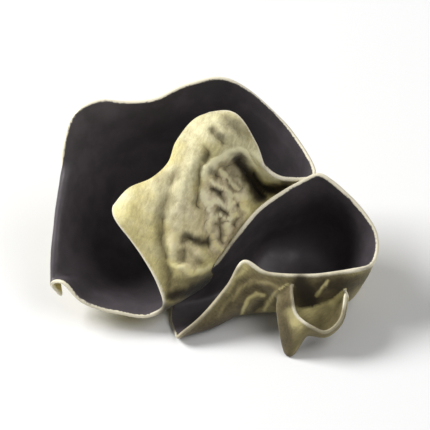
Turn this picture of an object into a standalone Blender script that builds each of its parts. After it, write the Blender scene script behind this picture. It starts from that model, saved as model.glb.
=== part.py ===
"""One picked wood ear mushroom, about 63 mm across, resting as it curled up.

The fruit body is one thin rubbery sheet with a smooth dark inner face and a felted pale back.
It is modelled as three curled lobes of that sheet, grown together into one solid:
a deep bowl on the left whose right side folds forward over it as a tongue,
a boat-shaped cup on the right, and a small ruffle hanging below the cup.

Each lobe is a loft through ribs. A rib is a row of points in millimetres, written as
(across, up, toward), on a plane that leans back from upright by LEAN_BACK:
across runs to the right, up runs up that plane, and toward leaves its front.
"""

import math

import bpy
import bmesh
from mathutils import Vector

MM = 0.001
LEAN_BACK = math.radians(44.0)
FLESH = 1.3 * MM
STEPS_PER_SPAN = 3
RUFFLE_STEPS_PER_SPAN = 2
FLOOR_BLOCK = 120.0 * MM

# Left lobe, ribs from its bottom rim to its top rim. Each runs from the outer left rim,
# rolled a little backward, down across the bowl, round the bend behind the cup (the eighth
# point), and back to the left over the bowl as the tongue, whose free rim is the last point.
LEFT_LOBE = (
    (
        (-30.0, 11.5, -2.5), (-31.0, 13.3, -0.5), (-28.5, 13.0, 0.8), (-25.5, 9.8, 0.0),
        (-21.5, 8.0, -0.5), (-17.5, 7.2, -0.7), (-13.5, 6.6, -1.0), (-10.6, 7.6, -0.8),
        (-9.8, 9.5, -0.2), (-11.2, 13.6, 0.8), (-13.2, 17.6, 1.4), (-15.4, 21.2, 1.6),
        (-17.6, 24.6, 1.8), (-18.8, 26.6, 1.4),
    ),
    (
        (-30.3, 16.5, -5.0), (-30.8, 16.5, -1.2), (-26.0, 15.0, -6.5), (-21.0, 13.5, -11.0),
        (-16.0, 12.5, -12.0), (-10.5, 12.0, -11.5), (-5.5, 12.0, -9.5), (-2.0, 13.0, -7.0),
        (-1.5, 15.0, -2.8), (-4.2, 15.9, 0.5), (-7.8, 19.5, 3.0), (-11.8, 24.5, 4.2),
        (-15.2, 29.2, 3.4), (-15.4, 29.6, 1.2),
    ),
    (
        (-30.5, 21.5, -7.0), (-30.4, 21.5, -1.5), (-26.0, 20.5, -9.5), (-20.5, 19.0, -15.5),
        (-14.5, 18.0, -17.5), (-8.0, 17.5, -17.5), (-1.0, 17.0, -15.0), (3.0, 17.0, -11.0),
        (3.8, 20.0, -3.2), (0.0, 21.2, -0.5), (-4.2, 25.2, 3.2), (-8.4, 29.6, 5.2),
        (-11.4, 32.8, 3.8), (-11.6, 33.0, 1.4),
    ),
    (
        (-30.0, 27.0, -7.0), (-29.8, 27.0, -2.0), (-25.5, 26.5, -10.0), (-20.0, 25.5, -17.5),
        (-13.5, 24.5, -21.5), (-6.5, 24.5, -22.5), (1.5, 24.0, -20.0), (7.2, 23.5, -13.5),
        (8.3, 25.8, -3.0), (4.0, 27.0, -1.0), (-0.5, 30.8, 2.8), (-4.6, 34.2, 5.6),
        (-8.0, 36.0, 4.0), (-8.2, 36.2, 1.6),
    ),
    (
        (-29.5, 33.0, -4.5), (-28.5, 33.0, -2.5), (-24.0, 33.0, -9.5), (-19.0, 32.5, -16.0),
        (-13.0, 32.5, -18.0), (-6.5, 32.5, -18.5), (2.0, 32.0, -17.5), (11.0, 27.5, -13.0),
        (12.2, 29.0, -5.0), (7.4, 30.4, -4.0), (3.0, 34.5, 0.0), (-1.5, 38.0, 5.6),
        (-5.8, 40.2, 4.0), (-6.0, 40.4, 1.6),
    ),
    (
        (-29.2, 38.5, -1.5), (-27.0, 38.5, -3.0), (-23.0, 39.5, -7.0), (-18.0, 40.5, -10.0),
        (-12.0, 41.0, -11.5), (-5.5, 41.5, -12.0), (3.0, 41.5, -12.0), (15.0, 32.0, -10.5),
        (16.2, 31.2, -3.8), (11.0, 31.8, -4.2), (6.8, 36.0, 0.0), (2.6, 41.2, 6.0),
        (-2.0, 44.6, 4.2), (-4.2, 43.9, 1.4),
    ),
    (
        (-28.0, 44.0, 0.0), (-25.8, 46.8, 0.5), (-22.0, 48.4, 0.0), (-17.0, 48.1, -1.0),
        (-11.5, 48.6, -1.0), (-5.0, 51.5, -1.5), (3.5, 52.4, -3.0), (13.5, 44.5, -6.5),
        (19.6, 34.6, -1.5), (14.8, 33.0, 0.6), (11.0, 34.4, 1.4), (8.7, 40.2, 2.0),
        (4.2, 45.6, 2.0), (-0.5, 46.2, 1.2),
    ),
)

# Right cup, ribs from its narrow spout at the lower left to its far right rim.
# Each runs from the rim beside the tongue, down the left wall, over the floor of the cup
# and up the near wall to the near rim.
RIGHT_CUP = (
    (
        (-5.5, 13.0, -4.5), (-7.0, 11.0, -6.5), (-8.2, 8.5, -6.5), (-8.5, 6.3, -5.3),
        (-8.0, 4.5, -3.8), (-7.5, 3.2, -2.3), (-7.2, 2.6, -0.9), (-6.6, 2.8, 0.6),
    ),
    (
        (-0.5, 16.3, -1.5), (0.3, 14.8, -5.0), (-0.3, 11.3, -8.3), (-1.2, 8.2, -7.2),
        (-1.2, 6.0, -5.2), (-1.0, 4.8, -3.2), (-1.2, 5.5, -0.6), (-2.0, 7.2, 1.4),
    ),
    (
        (4.5, 22.3, 0.3), (5.3, 20.3, -4.5), (5.5, 15.5, -11.0), (5.0, 10.5, -9.5),
        (5.2, 8.0, -7.0), (4.8, 7.4, -3.6), (3.8, 10.0, 0.8), (2.4, 13.0, 2.4),
    ),
    (
        (8.6, 27.4, 0.8), (9.6, 25.0, -5.0), (10.0, 20.5, -14.0), (11.0, 14.0, -13.3),
        (12.2, 8.8, -8.0), (11.8, 8.4, -3.5), (10.0, 13.0, 1.8), (8.0, 17.0, 3.6),
    ),
    (
        (14.0, 31.1, 0.8), (14.9, 28.3, -5.5), (15.6, 23.0, -15.0), (17.5, 16.5, -16.0),
        (18.5, 10.0, -9.3), (18.0, 8.0, -3.0), (18.0, 11.0, 2.0), (18.0, 15.3, 4.5),
    ),
    (
        (19.4, 34.0, 0.3), (20.5, 31.0, -4.5), (22.5, 25.5, -12.5), (25.0, 18.0, -14.5),
        (26.0, 11.0, -9.0), (26.0, 10.5, -4.0), (25.5, 12.5, 1.0), (25.0, 15.8, 4.0),
    ),
    (
        (22.4, 33.2, 0.0), (25.2, 30.8, -0.5), (28.5, 27.3, -1.0), (30.8, 23.8, -1.0),
        (31.5, 21.0, -0.5), (31.3, 18.5, 0.8), (30.4, 16.8, 2.0), (29.0, 16.0, 3.0),
    ),
)

# Ruffle below the cup, ribs from its left end to its right end. Each runs from the floor of
# its small pocket, under the lobe, and up the outside to its rim. The third reaches the tip.
RUFFLE = (
    ((14.5, 14.2, 2.0), (13.6, 13.8, 2.4), (13.8, 13.5, 3.2), (15.4, 13.8, 4.2)),
    ((15.5, 11.5, 1.4), (13.6, 9.0, 0.8), (13.6, 8.5, 2.8), (15.8, 10.2, 4.8)),
    ((16.2, 9.5, -0.6), (14.6, 3.5, 0.4), (14.4, 0.2, 1.4), (16.6, 7.2, 5.2)),
    ((18.0, 9.5, -0.8), (17.8, 5.0, 0.6), (17.8, 3.8, 3.0), (19.2, 5.6, 5.8)),
    ((20.5, 9.8, -0.6), (21.0, 5.5, 0.8), (21.4, 3.9, 3.2), (21.6, 7.6, 6.0)),
    ((23.0, 10.8, -0.4), (24.0, 7.5, 1.0), (24.6, 6.3, 3.2), (24.0, 10.4, 5.4)),
    ((25.0, 12.5, 0.8), (25.6, 11.3, 1.6), (25.8, 10.7, 2.8), (25.0, 11.8, 4.2)),
)

FLESH_COLOUR = (0.055, 0.042, 0.045, 1.0)
FLESH_ROUGHNESS = 0.55


def clear_scene():
    for obj in list(bpy.data.objects):
        bpy.data.objects.remove(obj, do_unlink=True)


def new_collection(name):
    collection = bpy.data.collections.new(name)
    bpy.context.scene.collection.children.link(collection)
    return collection


def flesh_material():
    material = bpy.data.materials.new("dark_rubbery_flesh")
    material.use_nodes = True
    shader = material.node_tree.nodes["Principled BSDF"]
    shader.inputs["Base Color"].default_value = FLESH_COLOUR
    shader.inputs["Roughness"].default_value = FLESH_ROUGHNESS
    shader.inputs["Metallic"].default_value = 0.0
    return material


def laid_back(point):
    """A rib's point turned from the leaning plane into upright space, in metres."""
    across, up, toward = point
    y = up * math.sin(LEAN_BACK) - toward * math.cos(LEAN_BACK)
    z = up * math.cos(LEAN_BACK) + toward * math.sin(LEAN_BACK)
    return Vector((across, y, z)) * MM


def smooth_through(points, steps):
    """A Catmull-Rom curve through the points, with this many steps between two of them."""
    before = points[0] * 2 - points[1]
    after = points[-1] * 2 - points[-2]
    knots = [before, *points, after]
    curve = []
    for p0, p1, p2, p3 in zip(knots, knots[1:], knots[2:], knots[3:]):
        for step in range(steps):
            t = step / steps
            linear = (p2 - p0) * t
            square = (p0 * 2 - p1 * 5 + p2 * 4 - p3) * t**2
            cube = (p1 * 3 - p0 - p2 * 3 + p3) * t**3
            curve.append((p1 * 2 + linear + square + cube) * 0.5)
    curve.append(points[-1])
    return curve


def loft(ribs, steps):
    """Rows of points of the smooth surface through the ribs."""
    along_ribs = [smooth_through([laid_back(point) for point in rib], steps) for rib in ribs]
    columns = [smooth_through(list(column), steps) for column in zip(*along_ribs)]
    return list(zip(*columns))


def lobe(name, ribs, steps, collection):
    """One curled lobe: a grid bent to the loft and given the thickness of the flesh."""
    rows = loft(ribs, steps)
    mesh = bpy.data.meshes.new(name)
    bm = bmesh.new()
    grid = bmesh.ops.create_grid(bm, x_segments=len(rows[0]) - 1, y_segments=len(rows) - 1)
    points = [point for row in rows for point in row]
    for vert, point in zip(grid["verts"], points):
        vert.co = point
    bm.to_mesh(mesh)
    bm.free()
    mesh.shade_smooth()
    obj = bpy.data.objects.new(name, mesh)
    collection.objects.link(obj)
    wall = obj.modifiers.new("flesh", "SOLIDIFY")
    wall.thickness = FLESH
    wall.offset = 0.0
    return obj


def floor_block(collection):
    """A block whose top is the surface that the ear rests on."""
    mesh = bpy.data.meshes.new("floor_block")
    bm = bmesh.new()
    bmesh.ops.create_cube(bm, size=FLOOR_BLOCK)
    bmesh.ops.translate(bm, verts=bm.verts, vec=(0.0, 0.0, -FLOOR_BLOCK / 2))
    bm.to_mesh(mesh)
    bm.free()
    obj = bpy.data.objects.new("floor_block", mesh)
    collection.objects.link(obj)
    return obj


def hide_helper(obj):
    obj.hide_render = True
    obj.display_type = "WIRE"


def combine(obj, other, operation):
    boolean = obj.modifiers.new(f"{operation.lower()}_{other.name}", "BOOLEAN")
    boolean.operation = operation
    boolean.solver = "EXACT"
    boolean.use_self = True
    boolean.object = other
    hide_helper(other)


def stand_over_origin(obj, helpers):
    """Moves everything so that the middle of the ear's underside is the origin."""
    bpy.context.view_layer.update()
    evaluated = obj.evaluated_get(bpy.context.evaluated_depsgraph_get())
    corners = [Vector(corner) for corner in evaluated.bound_box]
    low = Vector(min(corner[axis] for corner in corners) for axis in range(3))
    high = Vector(max(corner[axis] for corner in corners) for axis in range(3))
    middle = (low + high) / 2
    for each in (obj, *helpers):
        each.location = (-middle.x, -middle.y, -low.z)


def main():
    clear_scene()
    parts = new_collection("wood_ear_mushroom")
    helpers = new_collection("helpers")
    fruit_body = lobe("fruit_body", LEFT_LOBE, STEPS_PER_SPAN, parts)
    cup = lobe("right_cup", RIGHT_CUP, STEPS_PER_SPAN, helpers)
    ruffle = lobe("ruffle", RUFFLE, RUFFLE_STEPS_PER_SPAN, helpers)
    block = floor_block(helpers)
    combine(fruit_body, cup, "UNION")
    combine(fruit_body, ruffle, "UNION")
    combine(fruit_body, block, "DIFFERENCE")
    fruit_body.data.materials.append(flesh_material())
    stand_over_origin(fruit_body, (cup, ruffle, block))


main()
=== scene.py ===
"""One picked wood ear mushroom, dressed over its CAD solid.

The fruit body is rebuilt from nearly the same ribs as the solid, far finer: a smooth near-black
inner face, a felted cream back with its folds and its scar, and a rounded pale rim between.
Lengths in the tables are millimetres, and everything that is built is in metres.
"""

import math

import bmesh
import bpy
import numpy as np
from bpy.props import FloatProperty, FloatVectorProperty, PointerProperty
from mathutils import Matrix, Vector, kdtree, noise
from mathutils.bvhtree import BVHTree


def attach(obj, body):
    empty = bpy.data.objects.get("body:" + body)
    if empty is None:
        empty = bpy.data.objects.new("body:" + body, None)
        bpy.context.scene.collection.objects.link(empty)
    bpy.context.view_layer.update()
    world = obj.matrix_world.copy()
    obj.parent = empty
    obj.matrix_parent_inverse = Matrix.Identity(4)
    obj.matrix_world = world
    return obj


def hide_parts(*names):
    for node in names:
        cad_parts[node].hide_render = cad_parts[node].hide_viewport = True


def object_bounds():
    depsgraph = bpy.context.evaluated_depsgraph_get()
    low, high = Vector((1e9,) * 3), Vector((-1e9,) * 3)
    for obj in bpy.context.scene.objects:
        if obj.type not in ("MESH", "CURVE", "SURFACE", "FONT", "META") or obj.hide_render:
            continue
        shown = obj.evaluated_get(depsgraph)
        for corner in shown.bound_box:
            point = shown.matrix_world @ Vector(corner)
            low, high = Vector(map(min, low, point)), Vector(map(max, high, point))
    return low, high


bl_info = {
    "name": "Wood ear mushroom",
    "version": (1, 0, 0),
    "blender": (4, 5, 0),
    "location": "View3D > Sidebar > Wood ear",
    "description": "Builds a picked wood ear mushroom over its solid, and the stage around it",
    "category": "Add Mesh",
}

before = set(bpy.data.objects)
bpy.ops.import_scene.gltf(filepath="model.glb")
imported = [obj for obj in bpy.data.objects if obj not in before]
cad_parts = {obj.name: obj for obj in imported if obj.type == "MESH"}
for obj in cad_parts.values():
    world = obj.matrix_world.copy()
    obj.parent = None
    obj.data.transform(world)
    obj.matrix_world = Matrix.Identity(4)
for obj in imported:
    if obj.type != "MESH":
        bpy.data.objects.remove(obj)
CAD_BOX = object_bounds()

MM = 0.001
LEAN_BACK = math.radians(44.0)
# The solid's own move that stands it over the origin
STANDING_SHIFT = np.array((-0.22794, -18.93202, 0.0))
# Out of the leaning plane, towards the eye
TOWARD = np.array((0.0, -math.cos(LEAN_BACK), math.sin(LEAN_BACK)))

# Ribs of the three lobes, as (across, up, toward) on a plane that leans back by LEAN_BACK.
# Left lobe, bottom rim to top rim. Each rib runs from the outer left rim down across the bowl,
# round the bend behind the cup, and back to the left over the bowl as the tongue.
LEFT_LOBE = (
    ((-29.4, 10.3, -2.6), (-31.3, 12.7, -1), (-29, 13.3, 0.9), (-25.8, 9.8, 0.2), (-21.5, 8, -0.5),
     (-17.5, 7.2, -0.7), (-13.5, 6.6, -1), (-10.6, 7.6, -0.8), (-9.8, 9.5, -0.2), (-11.2, 13.6, 0.8),
     (-13.4, 17.6, 1.4), (-16, 21.4, 1.6), (-18.5, 24.6, 1.9), (-20, 27.4, 1.3)),
    ((-30.3, 16.5, -5), (-30.8, 16.5, -1.2), (-26, 15, -6.5), (-21, 13.5, -11), (-16, 12.5, -12),
     (-10.5, 12, -11.5), (-5.5, 12, -9.5), (-2, 13, -7), (-1.5, 15, -2.8), (-4.2, 15.9, 0.5),
     (-7.8, 19.5, 3), (-12.4, 25.2, 4.2), (-16.2, 30.1, 3.2), (-16.6, 30.6, 1.1)),
    ((-30.5, 21.5, -7), (-30.4, 21.5, -1.5), (-26, 20.5, -9.5), (-20.5, 19, -15.5), (-14.5, 18, -17.5),
     (-8, 17.5, -17.5), (-1, 17, -15), (3, 17, -11), (3.8, 20, -3.2), (0, 21.2, -0.5),
     (-4.2, 25.2, 3.2), (-8.4, 29.6, 5.2), (-11.4, 32.8, 3.8), (-11.6, 33, 1.4)),
    ((-30, 27, -7), (-29.8, 27, -2), (-25.5, 26.5, -10), (-20, 25.5, -17.5), (-13.5, 24.5, -21.5),
     (-6.5, 24.5, -22.5), (1.5, 24, -20), (7.2, 23.5, -13.5), (8.3, 25.8, -3), (4, 27, -1),
     (-0.5, 30.8, 2.8), (-4.6, 34.2, 5.6), (-8, 36, 4), (-8.2, 36.2, 1.6)),
    ((-29.5, 33, -4.5), (-28.5, 33, -2.5), (-24, 33, -9.5), (-19, 32.5, -16), (-13, 32.5, -18),
     (-6.5, 32.5, -18.5), (2, 32, -17.5), (11, 27.5, -13), (12.2, 29, -5), (7.4, 30.4, -4),
     (3, 34.5, 0), (-1.5, 38, 5.6), (-6.4, 40.2, 4), (-6.6, 40.4, 1.6)),
    ((-29.2, 38.5, -1.5), (-27, 38.5, -3), (-23, 39.5, -7), (-18, 40.5, -10), (-12, 41, -11.5),
     (-5.5, 41.5, -12), (3, 41.5, -12), (15, 32, -10.5), (16.2, 31.6, -3.8), (10.8, 32.8, -4),
     (7.2, 37, 0.4), (2.6, 41.2, 6), (-2, 44.6, 4.2), (-4.2, 43.9, 1.4)),
    ((-28, 44, 0), (-25.8, 46.8, 0.5), (-22, 48.4, 0), (-17, 48.1, -1), (-11.5, 48.6, -1),
     (-5, 51.5, -1.5), (3.5, 52.4, -3), (13.5, 44.5, -6.5), (19.6, 34.6, -1.5), (14.6, 33.2, 0.6),
     (10.6, 34.6, 1.4), (8.1, 40, 2), (4.5, 45.4, 2), (-0.5, 46.2, 1.2)),
)

# Right cup, spout to far right rim. Each rib runs from the rim beside the tongue, down the left
# wall, over the floor of the cup and up the near wall to the near rim.
RIGHT_CUP = (
    ((-5.5, 13, -4.5), (-7, 11, -6.5), (-8.2, 8.5, -6.5), (-8.5, 6.3, -5.3), (-8, 4.5, -3.8),
     (-7.5, 3.2, -2.3), (-7.2, 2.6, -0.9), (-6.6, 2.8, 0.6)),
    ((-0.5, 16.3, -1.5), (0.3, 14.8, -5), (-0.3, 11.3, -8.3), (-1.2, 8.2, -7.2), (-1.2, 6, -5.2),
     (-1, 4.8, -3.2), (-1.2, 5.5, -0.6), (-2, 7.2, 1.4)),
    ((4.5, 22.3, 0.3), (5.3, 20.3, -4.5), (5.5, 15.5, -11), (5, 10.5, -9.5), (5.2, 8, -7),
     (4.8, 7.4, -3.6), (3.8, 9.8, 0.8), (2.3, 12.6, 2.4)),
    ((8.6, 27.4, 0.8), (9.6, 25, -5), (10, 20.5, -14), (11, 14, -13.3), (12.2, 8.8, -8),
     (11.8, 8.4, -3.5), (8, 13.2, 1.8), (5.6, 17.6, 3.4)),
    ((14, 31.1, 0.8), (14.9, 28.3, -5.5), (15.6, 23, -15), (17.5, 16.5, -16), (18.5, 10, -9.3),
     (18, 8, -3), (14, 11.2, 2), (10.2, 15.3, 3.9)),
    ((19.4, 34, 0.3), (20.5, 31, -4.5), (22.5, 25.5, -12.5), (25, 18, -14.5), (26, 11, -9),
     (26, 10.5, -4), (22.8, 12.2, 1.4), (19.5, 15, 4.3)),
    ((22.4, 33.2, 0), (25.2, 30.8, -0.5), (28.5, 27.3, -1), (30.8, 23.8, -1), (31.5, 21, -0.5),
     (31.3, 18.5, 0.8), (30.4, 16.8, 2), (29, 16, 3)),
)

# Ruffle below the cup, left end to right end. Each rib runs from the floor of its small pocket,
# under the lobe, and up the outside to its rim.
RUFFLE = (
    ((15, 13.9, 2.2), (14.2, 13.7, 2.4), (14.4, 13.5, 2.8), (15.2, 13.5, 3.3)),
    ((15.5, 11.5, 1.4), (13, 9.2, 0.8), (12.6, 8.9, 2.8), (15.2, 10.6, 4.8)),
    ((16.2, 9.5, -0.6), (14.4, 3.3, 0.3), (14.3, -0.5, 1.2), (16, 7.4, 5.4)),
    ((18, 9.8, -1.2), (17.6, 5.2, 0.5), (17.5, 3.4, 2.9), (18.8, 5, 5.8)),
    ((20.5, 10.2, -1.2), (21, 4.8, 0.8), (21.4, 3, 2.8), (21.4, 3.9, 5.2)),
    ((23, 11.2, -1), (23.8, 7, 0.8), (24.3, 5.6, 2.8), (24.1, 6.4, 4.8)),
    ((25, 13, 0.4), (25.4, 11.8, 1.2), (25.6, 10.9, 2.6), (25, 11.4, 4)),
)

# Distances from a rim, in mm, where the sheet gets a row of points, so that the rim is round
RIM_ROWS = (0, 0.04, 0.1, 0.19, 0.31, 0.46, 0.66)
# Corners of a lobe's grid: the first or last rib, and its first or last point
CORNERS = ((0, 0), (0, -1), (-1, 0), (-1, -1))

# Folds of the felted back, as lines of (across, up) on the leaning plane, each with its half
# width and its height in mm. A furrow or a pit has a height below zero.
ARCH = (
    (-1.9, 33.2), (-1.4, 35.2), (0.5, 36.8), (3, 38.4), (4.9, 38.9), (6.4, 38), (7.6, 36.6),
    (8.7, 34.8), (10.2, 33.3), (12.6, 32.7),
)
MIDDLE_RIDGE = ((-2.6, 31.4), (-1.9, 29.2), (-0.8, 26.8), (-0.7, 24.1), (-0.1, 21.4), (1.3, 19.3))
LIP_RIDGE = ((-8.4, 16.9), (-6, 16.5), (-4, 14.9), (-1.6, 15.6), (-0.2, 16.6))
CHEEK = ((-7.4, 22.6), (-7.4, 20), (-7.8, 16.8))
NET = (
    ((-0.6, 32.8), (1.6, 31.6), (3.4, 29.9), (6.2, 29.2)),
    ((1.4, 34.9), (3.2, 33), (4.6, 31.2)),
    ((5.4, 28.6), (6.4, 27.2), (7.3, 25.6)),
    ((2.9, 29.6), (3.3, 27), (2.5, 24), (2.3, 21.8)),
    ((-1.4, 28.6), (0.6, 28.6), (2.4, 28.2), (3.6, 28.8)),
    ((-0.6, 25.6), (1, 26), (2.8, 25.6), (4.6, 26.6)),
)
TONGUE_FOLDS = (
    (ARCH, 0.4, 0.9),
    (MIDDLE_RIDGE, 0.36, 0.9),
    (LIP_RIDGE, 0.42, 1),
    (CHEEK, 0.45, 0.5),
    # pocket under the arch
    (((4.2, 36.6), (5.9, 34.4), (7.3, 32), (8.6, 30.2), (9.4, 29.4)), 1.3, -2.6),
    (((7.6, 34.8), (9.2, 32.4), (10.6, 31)), 1, -1.8),
    # creases between the knob and the arch
    (((-1.2, 38.6), (-1.7, 36.4)), 0.5, -0.9),
    (((-2.9, 36), (-3.2, 32), (-3.4, 27.8)), 0.6, -0.8),
    (((-0.2, 42.4), (0.6, 41), (1.7, 40.2)), 0.5, -0.6),
    (((1.6, 43.2), (3.4, 42.6), (4.6, 41.6)), 0.5, -0.4),
    # long furrow that parts the left crest from the middle, down to the lip
    (((-6, 36.5), (-7.6, 33), (-9, 29), (-9.9, 25.5)), 0.9, -0.5),
    (((-9.9, 25.5), (-9.8, 21.6), (-9.2, 19.4), (-8.8, 16.8), (-8.7, 11.6)), 1, -0.9),
    # swellings of the middle
    (((-5.4, 34.6), (-6.2, 30), (-6.9, 25.5), (-7.2, 22.8)), 0.9, 0.5),
    (((-4.2, 30.6), (-4.8, 27), (-5.2, 24.4)), 0.7, 0.4),
    (((-4.6, 19), (-3, 18.7), (-1.4, 19.4)), 0.7, 0.6),
    # pits of the scar and of the lower end
    (((-0.3, 34.1), (0.2, 33.6)), 0.6, -0.8),
    (((0.2, 30.8), (1, 30.1)), 0.7, -1.2),
    (((1.4, 27.4), (1.9, 26.8)), 0.6, -1),
    (((4.4, 28.3), (4.9, 28)), 0.5, -0.8),
    (((0.4, 25.4), (0.8, 23.2), (1.1, 21.2)), 0.8, -0.7),
    (((4.6, 25.8), (3.8, 23.8)), 0.6, -0.6),
    (((-5.7, 21.9), (-3.5, 21.5), (-1.6, 21.1)), 0.9, -1.4),
    (((-5.9, 20), (-6.2, 17.8)), 0.8, -1),
    (((-3.4, 17.4), (-2.4, 17.1)), 0.6, -0.6),
) + tuple((line, 0.38, 0.7) for line in NET)
PLEATS = (
    ((5.4, 6.9), (5.8, 8.4), (6.7, 10.2), (8, 11.1), (9.6, 10.8)),
    ((9.8, 7.8), (10.8, 10), (12.4, 11.9), (14.4, 13)),
    ((3.7, 10), (5.3, 12.3), (7.7, 13.5), (10.6, 13.2), (12, 12.6)),
    ((2.6, 11.4), (4.2, 14.1), (6, 15.8)),
    ((19.7, 10.7), (20.7, 12.3), (21.9, 13.6)),
)
CUP_FOLDS = (
    (PLEATS[0], 0.34, 0.6),
    (PLEATS[1], 0.34, 0.6),
    (PLEATS[2], 0.4, 0.4),
    (PLEATS[3], 0.4, 0.3),
    (PLEATS[4], 0.34, 0.9),
    (((7.2, 6.8), (8.2, 8.8), (9.4, 9.4)), 0.9, -0.9),
    (((11.6, 7.6), (12.6, 9.6), (13.8, 10.8)), 0.7, -0.6),
)
# Lines along which the felt is palest, in the same way: paler felt on the crests, and painted
# highlights where they face the light
TONGUE_PALE_AND_HIGHLIGHTS = (
    (ARCH, 0.5, 0.5),
    # painted highlight on the strip right of the arch
    (((8, 37.6), (9.2, 35.8), (11, 34), (14, 33.4)), 1, 0.55),
    # painted highlight on the left tip, which faces the light
    (((-18.8, 26), (-17.6, 29.4)), 1.7, 0.4),
    (((-5.6, 31), (-6.4, 27), (-5.6, 24)), 1.5, 0.16),
    (((-7, 22.4), (-7.4, 19)), 0.7, 0.16),
    (MIDDLE_RIDGE, 0.4, 0.35),
    (LIP_RIDGE, 0.5, 0.4),
    (CHEEK, 0.5, 0.2),
) + tuple((line, 0.4, 0.45) for line in NET)
# Paler felt and painted highlights on the pleats of the cup's near wall
CUP_PALE_AND_HIGHLIGHTS = (
    (PLEATS[0], 0.34, 0.55),
    (PLEATS[1], 0.34, 0.45),
    (PLEATS[2], 0.36, 0.17),
    (PLEATS[3], 0.36, 0.13),
    (PLEATS[4], 0.34, 0.7),
    (((1, 7), (2.6, 9.6), (3.6, 10.6)), 0.4, 0.12),
)
# Places that are browner or darker than the felt, as seen on the leaning plane: brown stains and pits,
# with painted shade deepening the pits and creases, and painted shade under the tongue's lip and in
# the pocket under the arch. Each is a line of (across, up), its half width and how deep its colour is
TONGUE_STAINS_AND_SHADE = (
    # painted shade under the lip, where the tongue rolls under
    (((-8, 10.8), (-5, 11.4), (-2.4, 12.2), (0.6, 13.8)), 1.5, 1),
    (((-8.6, 7.4), (-5, 8.4), (-1, 10), (1.6, 11.6)), 2.4, 1),
    (((-7.6, 13.6), (-4, 13.6), (-1, 14.6)), 0.9, 0.3),
    (((-8.8, 16.4), (-8.7, 14.4), (-8.8, 11.6)), 0.8, 0.4),
    (((-9.9, 22.6), (-9.6, 21.4), (-9, 18.4)), 0.8, 0.4),
    (((-10.8, 29.4), (-9.8, 24.6)), 1.7, 0.12),
    # the pocket under the arch: brown, and the arch's painted shadow
    (((4.6, 36.7), (6.3, 34.6), (7.9, 32), (9, 30)), 1.6, 1),
    (((7.4, 33.8), (9.2, 31.8), (11.2, 31), (13.8, 31.8)), 1.25, 1),
    (((-5.6, 22.3), (-3.6, 21.5), (-1.6, 20.9)), 0.95, 0.85),
    (((-6.2, 19.6), (-6.4, 18.4)), 0.9, 0.5),
    (((-4.6, 19.4), (-3, 17.4)), 0.5, 0.35),
    (((-1.5, 37.6), (-1.8, 36.8)), 0.75, 0.75),
    (((-2.5, 36), (-3, 32)), 0.6, 0.3),
    (((-3.5, 29.6), (-3.4, 27.6)), 0.6, 0.3),
    (((0.1, 30.9), (1, 30.2)), 1, 0.85),
    (((1.4, 27.3), (2, 26.9)), 0.75, 0.75),
    (((-0.5, 34.6), (0.3, 34)), 0.85, 0.6),
    (((0.6, 25.2), (0.9, 21.4)), 0.9, 0.15),
    (((2.6, 30), (3.4, 29.6)), 0.5, 0.4),
    (((2.9, 25.2), (3.3, 24.2)), 0.5, 0.35),
    (((3.4, 28.2), (4.2, 25.6)), 1.4, 0.14),
    (((4.4, 28.3), (4.9, 28.1)), 0.55, 0.6),
    (((4.6, 25.8), (3.8, 23.8)), 0.6, 0.3),
    (((3.4, 31.4), (2.6, 32.6)), 0.6, 0.3),
    (((-0.5, 42.6), (0.1, 42.1)), 0.65, 0.5),
    (((0.9, 41.6), (1.5, 40.9)), 0.55, 0.6),
    (((1.7, 40.3), (1.9, 39.9)), 0.45, 0.45),
    (((3.6, 43.6), (4.4, 43.9)), 0.7, 0.2),
    (((4.6, 42.8), (5.6, 42.2)), 0.8, 0.22),
    (((-3.4, 17.3), (-2.4, 17.1)), 0.6, 0.4),
)
# Mostly painted shade: the cup's near wall above the ruffle and under its right rim, and the flap
# where it curls under; brown with painted shade in the flap's furrow
CUP_STAINS_AND_SHADE = (
    (((16.6, 13.2), (18.2, 10.4), (19.4, 7.6)), 2, 1),
    (((20.6, 12.6), (26, 13), (30, 14.6)), 1.6, 0.8),
    (((7.2, 6.4), (8.1, 8.6), (9.2, 9.2)), 0.95, 0.7),
    (((-2, 2.8), (2, 4.4), (6, 6.2), (10, 6.8)), 2, 0.6),
)
# Places where the felt is darker khaki, in the same way: khaki felt, and painted shade under the
# tongue's lip, on the cup's near wall and on the ruffle, which face down and away from the light
TONGUE_KHAKI_AND_SHADE = (
    (((-9.2, 29.5), (-10.4, 24), (-10.4, 18), (-9.6, 12)), 1.3, 0.35),
    (((-16, 25), (-14.4, 21), (-12.6, 17.4)), 1.6, 0.22),
    (((3, 44.2), (6.6, 42)), 1.5, 0.5),
    (((0, 42.6), (1.2, 41.4), (2.6, 40.8)), 0.9, 0.3),
    (((-14.8, 29.6), (-13.2, 24.4)), 2.2, 0.14),
    (((1.6, 35.4), (3.2, 34.4), (4.2, 31.2)), 1.3, 0.6),
    (((0.5, 25.8), (0.9, 23.6), (1.3, 21.6)), 1.1, 0.25),
    (((-3.4, 34.2), (-3.2, 29)), 0.8, 0.35),
    (((-10.4, 32), (-7.4, 34)), 1.5, 0.45),
    # painted shade under the lip
    (((-7.6, 13), (-4, 13.4), (-1, 14.6)), 1.2, 0.6),
)
CUP_KHAKI_AND_SHADE = (
    # the cup's near wall: khaki, and painted shade as it faces down
    (((-4, 3.6), (1, 6), (5, 10.4), (8, 12.6), (16, 11.2), (24, 12)), 4.4, 1),
    (((-6.6, 3.4), (-2, 7.2), (2.3, 12.6), (4.2, 15.6)), 1.6, 0.8),
)
RUFFLE_KHAKI_AND_SHADE = (
    # the ruffle's column and right part: khaki, and painted shade
    (((14, 0), (13.2, 6), (14, 12)), 2.6, 1),
    (((16, 3), (20, 4), (24, 7)), 3.4, 0.85),
)
# Painted shade on the ruffle's column
RUFFLE_SHADE = ((((13.6, 1), (13.8, 5.6), (15, 8.6)), 1.5, 0.35),)
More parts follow.
